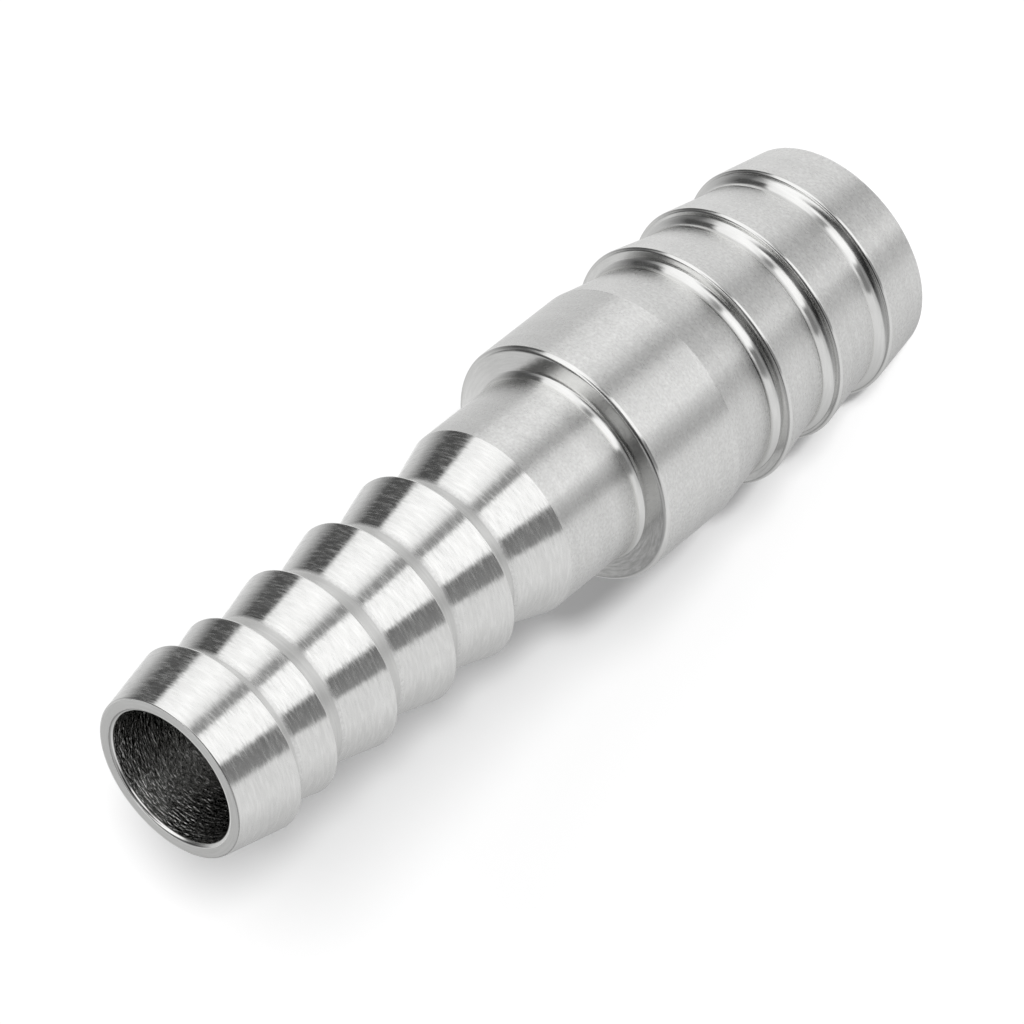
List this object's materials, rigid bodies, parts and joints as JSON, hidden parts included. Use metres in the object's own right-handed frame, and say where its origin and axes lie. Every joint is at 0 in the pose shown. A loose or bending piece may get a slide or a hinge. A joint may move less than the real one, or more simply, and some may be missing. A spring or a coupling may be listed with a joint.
{
  "type": "hose barb reducer",
  "caption": "Straight turned metal reducer that joins a smaller hose to a larger one, with a barbed tail at each end, a plain neck and collar between them, and a stepped through bore.",
  "frame": {"origin": "centre of the large end's face, on the surface that the fitting stands on", "axes": "+Z along the fitting's axis, from the large end up to the small end; round about Z, so X and Y are free"},
  "size_m": [0.0154, 0.0154, 0.055],
  "materials": {
    "turned_steel": "fine turned, satin on the neck, collar and large barbs, brighter on the small barbs and fillets"
  },
  "bodies": {
    "root": {"reducer_body": "turned_steel"}
  },
  "joints": []
}
